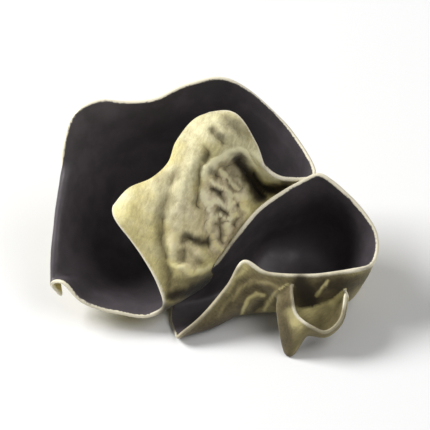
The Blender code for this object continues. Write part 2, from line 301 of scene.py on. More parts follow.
# Painted highlights on the ruffle's column and its right end
RUFFLE_PALE_AND_HIGHLIGHTS = (
    (((14.6, 7.6), (15.2, 6), (16.4, 5)), 1.1, 0.3),
    (((22.8, 9.6), (24.2, 10.8), (25, 11.6)), 0.9, 0.5),
)
# Scar where the ear grew on its log, and the bald middle beside it: the middle, half width and
# half height of each on the leaning plane, and how strong it is
SCARS = (((2, 27), 5, 10.5, 1), ((-5, 22.5), 3.6, 9, 0.6))

# The lobes. The radii of the corners are in the order of CORNERS, spacing is along the ribs and
# from rib to rib, fine is the span from which the points along the ribs are closer, and how
# close, streaks_from is the point of the ribs where streaks are measured from, and back gives
# the points between which the folds come up, so that they stay off the sheet behind.
LOBES = {
    "left_lobe": dict(
        ribs=LEFT_LOBE, flesh=1.0, radii=(0.8, 2.2, 2.5, 1.5), spacing=(0.56, 0.33),
        fine=(8, 0.26), streaks_from=8.0, back=(7.8, 8.8), folds=TONGUE_FOLDS,
        stains_and_shade=TONGUE_STAINS_AND_SHADE, khaki_and_shade=TONGUE_KHAKI_AND_SHADE, pale=TONGUE_PALE_AND_HIGHLIGHTS, pale_raggedness=0.2,
    ),
    "right_cup": dict(
        ribs=RIGHT_CUP, flesh=1.0, radii=(0.8, 1.2, 1.5, 2.0), spacing=(0.5, 0.38),
        fine=(5, 0.3), streaks_from=3.5, back=(4.6, 5.2), folds=CUP_FOLDS,
        stains_and_shade=CUP_STAINS_AND_SHADE, khaki_and_shade=CUP_KHAKI_AND_SHADE, pale=CUP_PALE_AND_HIGHLIGHTS, pale_raggedness=0.2,
    ),
    "ruffle": dict(
        ribs=RUFFLE, flesh=0.75, radii=(0.5, 0.8, 0.5, 0.8), spacing=(0.36, 0.36),
        fine=(3, 0.36), streaks_from=1.0, back=(-1.0, 0.0), folds=(),
        stains_and_shade=RUFFLE_SHADE, khaki_and_shade=RUFFLE_KHAKI_AND_SHADE, pale=RUFFLE_PALE_AND_HIGHLIGHTS, pale_raggedness=0.5,
    ),
}

# The grid of a lobe: the gap inside its rim rows, how near the rim the distance to it is exact,
# and how many points sooner its colours come up than its folds
CLEAR_OF_RIM_ROWS = 0.2
FEWEST_STEPS = 2
EVENING_ROUNDS = 3
RIM_REACH = 4.0
COLOUR_LEAD = 0.6
TINY = 1e-9

# Section of a fold: how much wider its skirt is than its crest, the crest's share of its height,
# and between which distances from its end a ridge fades
SKIRT_WIDTH = 2.2
FURROW_CREST = 0.75
RIDGE_CREST = 0.55
RIDGE_FADE = (-0.6, 2.4)
FOLD_RAGGEDNESS = 0.4
STAIN_RAGGEDNESS = 0.5
STAIN_SHARPNESS = 3
# Waves that make what is drawn ragged: their width, their share of the raggedness, and how much
# they add on the scar
RAGGED_WAVES = ((2.2, 1.0, 0.65), (0.7, 0.4, 0.1))
UP_SEED = 40.0

# The scar's edge as a share of its half size, and from where it counts as bare
SCAR_EDGE = (0.65, 1.1)
BARE_SCAR = (0.5, 1.0)
# Noises, each as its width in mm, its height and its seed: the net and the grain of the scar,
# how the tongue's folds swell and sink along their way, and the slow waves of every lobe
SCAR_CELLS = (1.7, 0.4, 7.0)
CELL_WALL_SHARPNESS = 3.2
SCAR_GRAIN = (1.0, 0.25, 0.0)
SWELL = (2.5, 0.3, 11.0)
SWELL_MIDDLE = 0.85
WAVES = (6.0, 0.22, 3.0)

# Underside of the tongue's lip, where the stains and the painted shade under the lip show too: from
# which point, up to which rib
LIP_COLUMNS = (6.2, 6.8)
LIP_ROWS = (1.8, 2.4)
# Rims of the cup in the hollow under the tongue's lip, given painted shade instead of the pale rim:
# between which ribs and which points they end
SPOUT = ((0.15, 0.4), (4.4, 5.4))
LOW_RIM = ((1.8, 3.4), (0.3, 0.7))
RIM_SHADE_DEPTH = 0.75
# How much a pale line, with its painted highlight, takes off the scar, the khaki and its painted
# shade, and the brown, and the most it takes
PALE_OVER_SCAR = (2.0, 1.0)
PALE_OVER_KHAKI = (1.2, 0.7)
PALE_OVER_BROWN = (1.5, 0.8)

# Streaks of the felt: how the tongue's lean, where they start, and how close the others' are
STREAK_LEAN = 0.3
TONGUE_COLUMNS = (7.6, 8.4)
CLOSE_STREAKS = (1.0, 2.2)

# Thickness at the rim as a share of the flesh, and where the sheet reaches its full thickness
RIM_SHARE = 0.66
THIN_REACH = (0.6, 6.0)
THINNEST = 0.03

# How the folds paint shade into their hollows and highlights onto their crests, and how much darker
# the scar is
FOLD_SHADING = 0.8
FOLD_SHADING_RANGE = (-0.4, 0.3)
FOLD_AVERAGING = 30
SCAR_DARKENING = 0.17

# How the joined mesh takes its marks from the sheets, and how its creases are softened
NEIGHBOURS = 6
SAME_PLACE = 1e-6
SOFTENING_REACHES = (1.0, 1.0, 0.8, 0.8, 0.6, 0.6, 0.4, 0.4, 0.25, 0.25)

# Colours that the felt takes from the settings, in the order of its sockets
FELT_COLOURS = ("Pale", "Yellow", "Shade", "Brown", "Scar", "Rim")
# Where most of a noise texture's values lie
NOISE_SPREAD = (0.3, 0.7)

# Each lamp: its name, where it hangs from the middle of the ear, its size and its power
LAMPS = (
    ("key_light", (-0.58, 0.16, 0.5), 0.35, 9.7),
    ("right_fill", (0.45, -0.2, 0.65), 0.6, 3.3),
)
SKY_STRENGTH = 0.22
FLOOR_HALF_SIZE = 1.5


def laid_back(points):
    """Points turned from the leaning plane into upright space."""
    across, up, toward = np.moveaxis(np.asarray(points, float), -1, 0)
    y = up * math.sin(LEAN_BACK) - toward * math.cos(LEAN_BACK)
    z = up * math.cos(LEAN_BACK) + toward * math.sin(LEAN_BACK)
    return np.stack([across, y, z], axis=-1)


def across_and_up(points):
    """Where upright points lie on the leaning plane."""
    across, y, z = np.moveaxis(points, -1, 0)
    return np.stack([across, y * math.sin(LEAN_BACK) + z * math.cos(LEAN_BACK)], axis=-1)


def curve_shares(places, count):
    """For places along a smooth curve through this many points: the four points that shape it
    there, counted with one more before the first, and the share of each."""
    span = np.clip(places.astype(int), 0, count - 2)
    t = places - span
    shares = [-t + 2 * t**2 - t**3, 2 - 5 * t**2 + 3 * t**3, t + 4 * t**2 - 3 * t**3, t**3 - t**2]
    return span[..., None] + np.arange(4), np.stack(shares, axis=-1) / 2


def with_ends(points):
    """The rows of points with one more beyond each end, carried on straight."""
    return np.concatenate([2 * points[:1] - points[1:2], points, 2 * points[-1:] - points[-2:-1]])


def surface_at(ribs, columns, rows):
    """The smooth surface through the ribs, at places counted in points and in ribs."""
    knots = np.swapaxes(with_ends(np.swapaxes(with_ends(ribs), 0, 1)), 0, 1)
    column, column_share = curve_shares(columns, ribs.shape[1])
    row, row_share = curve_shares(rows, ribs.shape[0])
    near = knots[row[..., :, None], column[..., None, :]]
    return np.einsum("...r,...c,...rcx->...x", row_share, column_share, near)


def places_along(spans, spacing, fine_from, fine_spacing):
    """Places along spans of these lengths, evenly spaced, with close rows at both rims."""
    places = []
    last = len(spans) - 1
    margin = RIM_ROWS[-1] + CLEAR_OF_RIM_ROWS
    for number, span in enumerate(spans):
        start = margin if number == 0 else 0.0
        end = span - margin if number == last else span
        gap = fine_spacing if number >= fine_from else spacing
        steps = max(FEWEST_STEPS, round((end - start) / gap))
        places += [number + (start + (end - start) * step / steps) / span for step in range(steps)]
    first_rim = [row / spans[0] for row in RIM_ROWS]
    last_rim = [last + 1 - row / spans[-1] for row in (margin, *reversed(RIM_ROWS))]
    return np.array(first_rim + places + last_rim)


def round_corner(column_gaps, row_gaps, radius):
    """Gaps from the two rims of a corner, in mm, drawn in so that the corner is round."""
    inside = (column_gaps < radius) & (row_gaps < radius)
    x = 1.0 - column_gaps / radius
    y = 1.0 - row_gaps / radius
    rounder_x = x * np.sqrt(np.clip(1.0 - y**2 / 2, 0.0, 1.0))
    rounder_y = y * np.sqrt(np.clip(1.0 - x**2 / 2, 0.0, 1.0))
    return (
        np.where(inside, radius * (1.0 - rounder_x), column_gaps),
        np.where(inside, radius * (1.0 - rounder_y), row_gaps),
    )


def smooth_step(value, low, high):
    """0 below low, 1 above high, and a smooth climb between."""
    t = np.clip((value - low) / (high - low), 0.0, 1.0)
    return t * t * (3.0 - 2.0 * t)


def lengths_along(points, axis):
    """Length over the grid from its first row or column to each point."""
    steps = np.linalg.norm(np.diff(points, axis=axis), axis=-1)
    start = np.zeros_like(np.take(steps, [0], axis=axis))
    return np.cumsum(np.concatenate([start, steps], axis=axis), axis=axis)


def gap_to_line(spots, line):
    """How far each flat spot is from a line, and how far along the line from its nearer end."""
    points = [np.array(point) for point in line]
    total = sum(np.linalg.norm(end - start) for start, end in zip(points, points[1:]))
    nearest = np.full(spots.shape[:-1], np.inf)
    reached = np.zeros(spots.shape[:-1])
    done = 0.0
    for start, end in zip(points, points[1:]):
        along = end - start
        length = np.linalg.norm(along)
        t = np.clip((spots - start) @ along / length**2, 0.0, 1.0)
        gap = np.linalg.norm(spots - start - t[..., None] * along, axis=-1)
        reached = np.where(gap < nearest, done + t * length, reached)
        nearest = np.minimum(nearest, gap)
        done += length
    return nearest, np.minimum(reached, total - reached)


def noise_at(points, width, height=1.0, seed=0.0):
    """Smooth noise at each point, up to this height, with bumps about this many mm across."""
    flat = points.reshape(-1, 3) / width + seed
    return height * np.array([noise.noise(Vector(p)) for p in flat]).reshape(points.shape[:-1])


def cells_at(points, width, height, seed):
    """Ridged net: 0 in the middle of a cell this many mm wide, and near its height on a wall."""
    flat = points.reshape(-1, 3) / width + seed
    nearest = np.array([noise.voronoi(Vector(p))[0][:2] for p in flat])
    walls = 1.0 - np.minimum(1.0, (nearest[:, 1] - nearest[:, 0]) * CELL_WALL_SHARPNESS)
    return height * walls.reshape(points.shape[:-1])


def face_normals_of(points):
    """The direction that each point of a grid faces."""
    normals = np.cross(np.gradient(points, axis=1), np.gradient(points, axis=0))
    return normals / np.maximum(np.linalg.norm(normals, axis=-1, keepdims=True), TINY)


def around(grid):
    """The mean of the four neighbours of each inner point of a grid."""
    return (grid[:-2, 1:-1] + grid[2:, 1:-1] + grid[1:-1, :-2] + grid[1:-1, 2:]) / 4


def averaged(grid, times):
    """The grid with each value replaced this many times by the mean of its neighbours."""
    for _ in range(times):
        grid = around(np.pad(grid, 1, mode="edge"))
    return grid


def evened(points, times):
    """The grid with its inner points drawn half way to their neighbours this many times."""
    points = points.copy()
    for _ in range(times):
        points[1:-1, 1:-1] = points[1:-1, 1:-1] / 2 + around(points) / 2
    return points


def tree_of(points):
    """A search tree that finds the points by their row numbers."""
    tree = kdtree.KDTree(len(points))
    for index, point in enumerate(points):
        tree.insert(point, index)
    tree.balance()
    return tree


class Lobe:
    """A lobe's middle surface as a grid of points, in mm."""

    def __init__(self, name, detail):
        self.name = name
        self.has_tongue = name == "left_lobe"
        self.form = LOBES[name]
        ribs = laid_back(self.form["ribs"])
        along_spacing, up_spacing = (gap / detail for gap in self.form["spacing"])
        fine_from, fine_spacing = self.form["fine"]
        spans = np.linalg.norm(np.diff(ribs, axis=1), axis=-1).mean(axis=0)
        gaps = np.linalg.norm(np.diff(ribs, axis=0), axis=-1).mean(axis=1)
        columns, rows = np.meshgrid(
            places_along(spans, along_spacing, fine_from, fine_spacing / detail),
            places_along(gaps, up_spacing, 0, up_spacing),
        )
        for (row, column), radius in zip(CORNERS, self.form["radii"]):
            row_end = -row * len(gaps)
            column_end = -column * len(spans)
            column_gaps = abs(columns - column_end) * spans[column]
            row_gaps = abs(rows - row_end) * gaps[row]
            column_gaps, row_gaps = round_corner(column_gaps, row_gaps, radius)
            columns = abs(column_end - column_gaps / spans[column])
            rows = abs(row_end - row_gaps / gaps[row])
        self.columns = columns
        self.rows = rows
        self.points = evened(surface_at(ribs, columns, rows), EVENING_ROUNDS)
        self.folded = smooth_step(columns, *self.form["back"])
        self.marks_shown = smooth_step(columns + COLOUR_LEAD, *self.form["back"])

    def raise_by(self, height, folds):
        """Moves each point towards the felted back by a height, and towards the eye by folds."""
        self.points -= face_normals_of(self.points) * height[..., None]
        self.points += TOWARD * folds[..., None]

    def measure(self):
        """Lengths over the sheet for its streaks, and how far each point is from the rim."""
        along = lengths_along(self.points, 1)
        up = lengths_along(self.points, 0)
        self.rim = np.minimum.reduce([along, along[:, -1:] - along, up, up[-1:] - up])
        edges = [self.points[0], self.points[-1], self.points[:, 0], self.points[:, -1]]
        tree = tree_of(np.concatenate(edges))
        for index in np.argwhere(self.rim < RIM_REACH):
            place = tuple(index)
            self.rim[place] = min(self.rim[place], tree.find(self.points[place])[2])
        start = np.argmin(abs(self.columns[len(up) // 2] - self.form["streaks_from"]))
        self.sheet = np.stack([along - along[:, start:start + 1], up], axis=-1)


def folds_along(spots, lines):
    """Height of the ridges and furrows at these spots. A ridge fades out towards its ends."""
    ridges = np.zeros(spots.shape[:-1])
    furrows = np.zeros(spots.shape[:-1])
    for line, half_width, height in lines:
        gap, from_end = gap_to_line(spots, line)
        crest = np.exp(-((gap / half_width) ** 2))
        skirt = np.exp(-((gap / half_width / SKIRT_WIDTH) ** 2))
        if height < 0:
            section = FURROW_CREST * crest + (1.0 - FURROW_CREST) * skirt
            furrows = np.minimum(furrows, height * section)
        else:
            section = RIDGE_CREST * crest + (1.0 - RIDGE_CREST) * skirt
            ridges = np.maximum(ridges, height * smooth_step(from_end, *RIDGE_FADE) * section)
    return ridges + furrows


def marks_along(spots, lines):
    """What lines with a half width and a depth leave at these spots, where the deepest wins."""
    deepest = np.zeros(spots.shape[:-1])
    for line, half_width, depth in lines:
        gap = gap_to_line(spots, line)[0]
        deepest = np.maximum(deepest, depth * np.exp(-((gap / half_width) ** STAIN_SHARPNESS)))
    return deepest


def scar_of(spots):
    """1 on the scar, less on the bald middle, and 0 off both."""
    scar = np.zeros(spots.shape[:-1])
    for middle, half_across, half_up, strength in SCARS:
        from_middle = (spots - np.array(middle)) / (half_across, half_up)
        inside = 1.0 - smooth_step(np.linalg.norm(from_middle, axis=-1), *SCAR_EDGE)
        scar = np.maximum(scar, strength * inside)
    return scar


def ragged_spots(points, raggedness):
    """Spots on the leaning plane, moved about so that what is drawn there is ragged, and more so
    on the scar."""
    spots = across_and_up(points)
    scar = scar_of(spots)[..., None]
    for width, share, on_scar in RAGGED_WAVES:
        waves = [noise_at(points, width), noise_at(points, width, seed=UP_SEED)]
        spots = spots + (share * raggedness + on_scar * scar) * np.stack(waves, axis=-1)
    return spots


def shape_lobe(lobe):
    """Raises a lobe's folds and its slow waves, and keeps how high each point was raised."""
    spots = ragged_spots(lobe.points, FOLD_RAGGEDNESS)
    folds = folds_along(spots, lobe.form["folds"])
    if lobe.has_tongue:
        net = cells_at(lobe.points, *SCAR_CELLS) + noise_at(lobe.points, *SCAR_GRAIN)
        folds += smooth_step(scar_of(spots), *BARE_SCAR) * net
        folds *= SWELL_MIDDLE + noise_at(lobe.points, *SWELL)
    lobe.folds = folds * lobe.folded
    lobe.raise_by(noise_at(lobe.points, *WAVES), lobe.folds)


def near_first(lobe, row_range, column_range):
    """1 near the first point of the first rib, and 0 past these ribs and points."""
    near_rib = 1.0 - smooth_step(lobe.rows, *row_range)
    return (near_rib * (1.0 - smooth_step(lobe.columns, *column_range))).ravel()


def left_by(pale, over):
    """What share of another colour a pale line leaves."""
    strength, most = over
    return 1.0 - np.clip(strength * pale, 0.0, most)


def colours_of(lobe, points):
    """How scarred, brown, khaki and pale the felt is at each point of a side of a lobe. The brown and
    the khaki carry painted shade too, and the pale lines painted highlights.
    """
    spots = ragged_spots(points, STAIN_RAGGEDNESS)
    pale_spots = ragged_spots(points, lobe.form["pale_raggedness"])
    pale = marks_along(pale_spots, lobe.form["pale"])
    brown = marks_along(spots, lobe.form["stains_and_shade"]) * left_by(pale, PALE_OVER_BROWN)
    khaki_and_shade = marks_along(spots, lobe.form["khaki_and_shade"]) * left_by(pale, PALE_OVER_KHAKI)
    scar = np.zeros(len(points))
    shown = lobe.marks_shown.ravel()
    if lobe.has_tongue:
        scar = scar_of(spots) * left_by(pale, PALE_OVER_SCAR)
        # The stains and the painted shade under the lip show on its underside too
        under_lip = smooth_step(lobe.columns, *LIP_COLUMNS)
        under_lip = under_lip * (1.0 - smooth_step(lobe.rows, *LIP_ROWS))
        shown = np.maximum(shown, under_lip.ravel())
    brown = brown * shown
    khaki_and_shade = khaki_and_shade * shown
    # The spout's rim and the low rim in the hollow under the lip get painted shade, brown and khaki
    if lobe.name == "right_cup":
        brown = np.maximum(brown, RIM_SHADE_DEPTH * near_first(lobe, *SPOUT))
        khaki_and_shade = np.maximum(khaki_and_shade, RIM_SHADE_DEPTH * near_first(lobe, *LOW_RIM))
    return scar * shown, brown, khaki_and_shade, pale * shown


def lean_streaks(lobe):
    """Makes the tongue's streaks run down from the knob, and the others' down from their rims."""
    if not lobe.has_tongue:
        lobe.sheet = lobe.sheet[..., ::-1] * CLOSE_STREAKS
        return
    across, up = np.moveaxis(across_and_up(lobe.points), -1, 0)
    run_down = np.stack([across - STREAK_LEAN * up, up], axis=-1)
    on_tongue = smooth_step(lobe.columns, *TONGUE_COLUMNS)[..., None]
    lobe.sheet = lobe.sheet * (1.0 - on_tongue) + run_down * on_tongue


def thickness_share(rim, rounding):
    """The sheet's thickness as a share of the full flesh: round at the rim, thin near it."""
    round_off = np.sqrt(1.0 - (1.0 - np.clip(rim / rounding, 0.0, 1.0)) ** 2)
    thin = RIM_SHARE + (1.0 - RIM_SHARE) * smooth_step(rim, *THIN_REACH)
    return np.clip(round_off * thin, THINNEST, 1.0)


def placed(name, data):
    """A new object in the scene."""
    obj = bpy.data.objects.new(name, data)
    bpy.context.collection.objects.link(obj)
    return obj


def sheet_object(lobe, flesh, rounding):
    """The lobe as a closed sheet with the thickness of the flesh, as a mesh object."""
    rows, columns = lobe.points.shape[:2]
    bm = bmesh.new()
    grid = bmesh.ops.create_grid(bm, x_segments=columns - 1, y_segments=rows - 1)
    upright = (lobe.points + STANDING_SHIFT) * MM
    for vert, point in zip(grid["verts"], upright.reshape(-1, 3)):
        vert.co = point
    mesh = bpy.data.meshes.new(lobe.name)
    bm.to_mesh(mesh)
    bm.free()
    obj = placed(lobe.name, mesh)
    group = obj.vertex_groups.new(name="flesh")
    for index, share in enumerate(thickness_share(lobe.rim, rounding).ravel()):
        group.add([index], float(share), "REPLACE")
    wall = obj.modifiers.new("flesh", "SOLIDIFY")
    wall.thickness = flesh * MM
    wall.offset = 0.0
    wall.vertex_group = "flesh"
    return obj


def settled_mesh(obj, name):
    """A mesh of the object with its modifiers applied. The object itself is removed."""
    bpy.context.view_layer.update()
    evaluated = obj.evaluated_get(bpy.context.evaluated_depsgraph_get())
    mesh = bpy.data.meshes.new_from_object(evaluated)
    mesh.name = name
    bpy.data.objects.remove(obj, do_unlink=True)
    return mesh


def places_of(mesh):
    """Where the points of a mesh are, one row each."""
    places = np.empty(len(mesh.vertices) * 3, np.float32)
    mesh.vertices.foreach_get("co", places)
    return places.reshape(-1, 3)


class Skin:
    """What each point of the closed sheets knows: its side, its rim distance, and its marks."""

    FLOATS = ("rim", "tone_and_shade", "scar", "stain_and_shade", "khaki_and_shade")

    def __init__(self):
        self.places = []
        self.marks = []
        self.faces = []
        self.inner_faces = []
        self.count = 0

    def add(self, mesh, lobe):
        """Takes in a lobe's closed sheet, whose points are one side's grid and then the other's."""
        places = places_of(mesh)
        middle = (lobe.points.reshape(-1, 3) + STANDING_SHIFT) * MM
        side_count = len(middle)
        facing = face_normals_of(lobe.points).reshape(-1, 3)
        first_is_inner = np.sum((places[:side_count] - middle) * facing) > 0
        # Painted shade in the folds' hollows and painted highlights on their crests, against their
        # averaged surroundings
        raised = FOLD_SHADING * (lobe.folds - averaged(lobe.folds, FOLD_AVERAGING))
        raised = np.clip(raised, *FOLD_SHADING_RANGE).ravel()
        across_sheet, up_sheet = lobe.sheet.reshape(-1, 2).T
        for start in (0, side_count):
            side = places[start:start + side_count]
            scar, brown, khaki_and_shade, pale = colours_of(lobe, side / MM - STANDING_SHIFT)
            tone_and_shade = raised + pale - SCAR_DARKENING * smooth_step(scar, *BARE_SCAR)
            columns = [lobe.rim.ravel(), tone_and_shade, scar, brown, khaki_and_shade, across_sheet, up_sheet]
            self.places.append(side)
            self.marks.append(np.stack(columns, axis=-1))
        inner = np.repeat([first_is_inner, not first_is_inner], side_count)
        for face in mesh.polygons:
            corners = list(face.vertices)
            self.faces.append([self.count + corner for corner in corners])
            dark = lobe.name != "ruffle" and all(inner[corner] for corner in corners)
            self.inner_faces.append(dark)
        self.count += len(places)

    def finish(self):
        """Joins what was taken in. Nothing is added after this."""
        self.places = np.concatenate(self.places)
        self.marks = np.concatenate(self.marks)

    def marks_at(self, places):
        """The marks at these places, and whether each is in a crease that the joining made."""
        tree = tree_of(self.places)
        found = [tree.find_n(place, NEIGHBOURS) for place in places]
        nearest = np.array([[index for _, index, _ in near] for near in found])
        gaps = np.array([[gap for _, _, gap in near] for near in found])
        creases = gaps[:, 0] > SAME_PLACE
        nearest_alone = np.eye(NEIGHBOURS)[0]
        weights = np.where(creases[:, None], 1.0 / np.maximum(gaps, SAME_PLACE), nearest_alone)
        weights /= weights.sum(axis=1, keepdims=True)
        return np.sum(self.marks[nearest] * weights[..., None], axis=1), creases

    def choose_materials(self, mesh):
        """Gives the inner faces the first material, and the back and the rim the second."""
        tree = BVHTree.FromPolygons(self.places.tolist(), self.faces)
        sources = [tree.find_nearest(face.center)[2] for face in mesh.polygons]
        slots = [0 if self.inner_faces[source] else 1 for source in sources]
        mesh.materials.clear()
        mesh.polygons.foreach_set("material_index", slots)


def united(first, others):
    """One mesh from closed sheets that cut through each other."""
    base = placed("fruit_body_base", first)
    helpers = [placed(mesh.name, mesh) for mesh in others]
    for helper in helpers:
        union = base.modifiers.new("union", "BOOLEAN")
        union.operation = "UNION"
        union.solver = "MANIFOLD"
        union.object = helper
    mesh = settled_mesh(base, "wood_ear_flesh")
    for helper in helpers:
        bpy.data.objects.remove(helper, do_unlink=True)
    return mesh


def soften_creases(mesh, places, creases, reach):
    """Rounds the valleys where the lobes have grown together, less and less away from them."""
    if not creases.any():
        return
    tree = tree_of(places[creases])
    gaps = np.array([tree.find(place)[2] for place in places])
    bm = bmesh.new()
    bm.from_mesh(mesh)
    bm.verts.ensure_lookup_table()
    for share in SOFTENING_REACHES:
        chosen = [bm.verts[int(i)] for i in np.flatnonzero(gaps < reach * share)]
        bmesh.ops.smooth_vert(
            bm, verts=chosen, factor=0.5, use_axis_x=True, use_axis_y=True, use_axis_z=True
        )
    bm.to_mesh(mesh)
    bm.free()


def store_marks(mesh, marks):
    """Keeps the marks as attributes that the materials read."""
    for column, attribute in enumerate(Skin.FLOATS):
        made = mesh.attributes.new(attribute, "FLOAT", "POINT")
        made.data.foreach_set("value", marks[:, column].astype(np.float32))
    sheet = mesh.attributes.new("sheet", "FLOAT_VECTOR", "POINT")
    over_sheet = np.zeros((len(marks), 3), np.float32)
    over_sheet[:, :2] = marks[:, len(Skin.FLOATS):]
    sheet.data.foreach_set("vector", over_sheet.ravel())


def build_flesh(shape):
    """The whole fruit body as one object, with what its materials read as attributes."""
    skin = Skin()
    meshes = []
    for name in LOBES:
        lobe = Lobe(name, shape.detail)
        shape_lobe(lobe)
        lobe.measure()
        lean_streaks(lobe)
        obj = sheet_object(lobe, shape.flesh * lobe.form["flesh"], shape.rounding)
        meshes.append(settled_mesh(obj, name))
        skin.add(meshes[-1], lobe)
    skin.finish()
    mesh = united(meshes[0], meshes[1:])
    places = places_of(mesh)
    marks, creases = skin.marks_at(places)
    skin.choose_materials(mesh)
    soften_creases(mesh, places, creases, shape.blend * MM)
    on_floor = places_of(mesh)
    on_floor[:, 2] = np.maximum(on_floor[:, 2], 0.0)
    mesh.vertices.foreach_set("co", on_floor.ravel())
    store_marks(mesh, marks)
    mesh.update()
    mesh.shade_smooth()
    return placed("wood_ear_flesh", mesh)


class Graph:
    """Adds nodes to a node tree. A socket given as an input is linked, and a value is set."""

    def __init__(self, tree):
        self.tree = tree

    def feed(self, socket, value):
        if isinstance(value, bpy.types.NodeSocket):
            self.tree.links.new(value, socket)
        else:
            socket.default_value = value

    def node(self, kind, inputs=(), **settings):
        made = self.tree.nodes.new(kind)
        for name, value in settings.items():
            setattr(made, name, value)
        for key, value in dict(inputs).items():
            self.feed(made.inputs[key], value)
        return made

    def math(self, operation, *values, clamp=False):
        numbered = enumerate(values)
        made = self.node("ShaderNodeMath", numbered, operation=operation, use_clamp=clamp)
        return made.outputs[0]

    def vector(self, operation, *values):
        made = self.node("ShaderNodeVectorMath", enumerate(values), operation=operation)
        return made.outputs[0]

    def attribute(self, name, output="Fac"):
        return self.node("ShaderNodeAttribute", attribute_name=name).outputs[output]

    def place_in_mm(self):
        place = self.node("ShaderNodeTexCoord").outputs["Object"]
        return self.vector("MULTIPLY", place, (1.0 / MM, 1.0 / MM, 1.0 / MM))

    def noise(self, vector, scale, detail, roughness, output="Fac"):
        inputs = {"Vector": vector, "Scale": scale, "Detail": detail, "Roughness": roughness}
        return self.node("ShaderNodeTexNoise", inputs).outputs[output]

    def spread(self, value, low, high, out_low=0.0, out_high=1.0):
        """The value between low and high, moved smoothly to between out_low and out_high."""
        names = ("Value", "From Min", "From Max", "To Min", "To Max")
        inputs = zip(names, (value, low, high, out_low, out_high))
        made = self.node("ShaderNodeMapRange", inputs, interpolation_type="SMOOTHSTEP")
        return made.outputs[0]

    def sway(self, noise_value, depth):
        """A noise made to vary from -depth to depth."""
        return self.spread(noise_value, *NOISE_SPREAD, -depth, depth)

    def mix(self, share, first, second):
        """Two colours mixed, through the sockets that the node keeps for colours."""
        made = self.node("ShaderNodeMix", {"Factor": share}, data_type="RGBA")
        self.feed(made.inputs[6], first)
        self.feed(made.inputs[7], second)
        return made.outputs[2]


def felt_group():
    """Felted back: streaked and mottled cream, with painted shade in its furrows and painted
    highlights on its crests, khaki with painted shade in places, brown in its stains and its painted
    shade.
    """
    tree = bpy.data.node_groups.new("felt", "ShaderNodeTree")
    for name in FELT_COLOURS:
        tree.interface.new_socket(name=name, in_out="INPUT", socket_type="NodeSocketColor")
    tree.interface.new_socket(name="Color", in_out="OUTPUT", socket_type="NodeSocketColor")
    tree.interface.new_socket(name="Height", in_out="OUTPUT", socket_type="NodeSocketFloat")
    graph = Graph(tree)
    given = graph.node("NodeGroupInput").outputs
    out = graph.node("NodeGroupOutput").inputs

    in_mm = graph.place_in_mm()
    wander = graph.noise(in_mm, 0.5, 2.0, 0.5, "Color")
    wander = graph.vector("MULTIPLY", wander, (1.6, 1.6, 1.6))
    swept = graph.vector("ADD", graph.attribute("sheet", "Vector"), wander)
    long_way = graph.vector("MULTIPLY", swept, (1.0, 0.3, 1.0))
    short_way = graph.vector("MULTIPLY", swept, (1.0, 0.45, 1.0))
    streaks = graph.noise(long_way, 1.6, 4.0, 0.65)
    mottle = graph.noise(in_mm, 0.4, 3.0, 0.5)
    nap = graph.noise(short_way, 4.5, 3.0, 0.7)
    grain = graph.noise(in_mm, 5.5, 2.0, 0.7)

    # The tone carries the folds' painted shade and highlights, the pale lines and the darker scar
    tone_and_shade = graph.attribute("tone_and_shade")
    light = 0.6
    for layer, depth in ((streaks, 0.16), (mottle, 0.13), (nap, 0.09), (grain, 0.05)):
        light = graph.math("ADD", light, graph.sway(layer, depth))
    light = graph.math("ADD", light, tone_and_shade, clamp=True)

    # Paler high up and on the folds' crests and painted highlights, yellower low down, in patches
    level = graph.node("ShaderNodeSeparateXYZ", {0: in_mm}).outputs["Z"]
    patch = graph.noise(in_mm, 0.16, 2.0, 0.5)
    level = graph.math("ADD", level, graph.sway(patch, 9.0))
    level = graph.math("MULTIPLY_ADD", tone_and_shade, 14.0, level)
    lightest = graph.mix(graph.spread(level, 17.0, 36.0), given["Yellow"], given["Pale"])
    felt = graph.mix(light, given["Shade"], lightest)

    bare = graph.math("MULTIPLY", graph.attribute("scar"), 0.75)
    felt = graph.mix(bare, felt, graph.mix(light, given["Shade"], given["Scar"]))

    # Khaki felt and painted shade, drawn towards a darker mix of brown and the shaded felt
    khaki_and_shade = graph.attribute("khaki_and_shade")
    dim = graph.math("MULTIPLY", light, 0.56)
    felt = graph.mix(khaki_and_shade, felt, graph.mix(dim, given["Brown"], given["Shade"]))

    # The rim is dimmed too where shade is painted with the khaki
    rim = graph.math("ADD", graph.attribute("rim"), graph.sway(nap, 0.15))
    edge = graph.spread(rim, 0.25, 0.7, 0.9, 0.0)
    edge = graph.math("MULTIPLY", edge, graph.spread(khaki_and_shade, 0.45, 0.95, 1.0, 0.2))
    felt = graph.mix(edge, felt, given["Rim"])

    # Brown stains and pits, and painted shade under the lip, in the pocket and on the cup's shaded
    # walls
    graph.feed(out["Color"], graph.mix(graph.attribute("stain_and_shade"), felt, given["Brown"]))
    height = 0.0
    for layer, depth in ((streaks, 0.6), (nap, 0.5), (grain, 0.3)):
        height = graph.math("MULTIPLY_ADD", layer, depth, height)
    graph.feed(out["Height"], height)
    return tree


def plain_material(name, values):
    """A new material with these plain values, its graph and the inputs of its shader."""
    material = bpy.data.materials.new(name)
    material.use_nodes = True
    graph = Graph(material.node_tree)
    shader = material.node_tree.nodes["Principled BSDF"]
    for socket, value in values.items():
        shader.inputs[socket].default_value = value
    return material, graph, shader.inputs


def felt_cover(graph, felt, finish):
    """The felt in a material, in the colours of the settings."""
    cover = graph.node("ShaderNodeGroup", node_tree=felt)
    for name in FELT_COLOURS:
        cover.inputs[name].default_value = (*getattr(finish, name.lower()), 1.0)
    return cover.outputs


def relief(graph, height, strength, depth):
    """A normal from small bumps, whose depth is in mm."""
    values = {"Height": height, "Strength": strength, "Distance": depth * MM}
    return graph.node("ShaderNodeBump", values).outputs["Normal"]


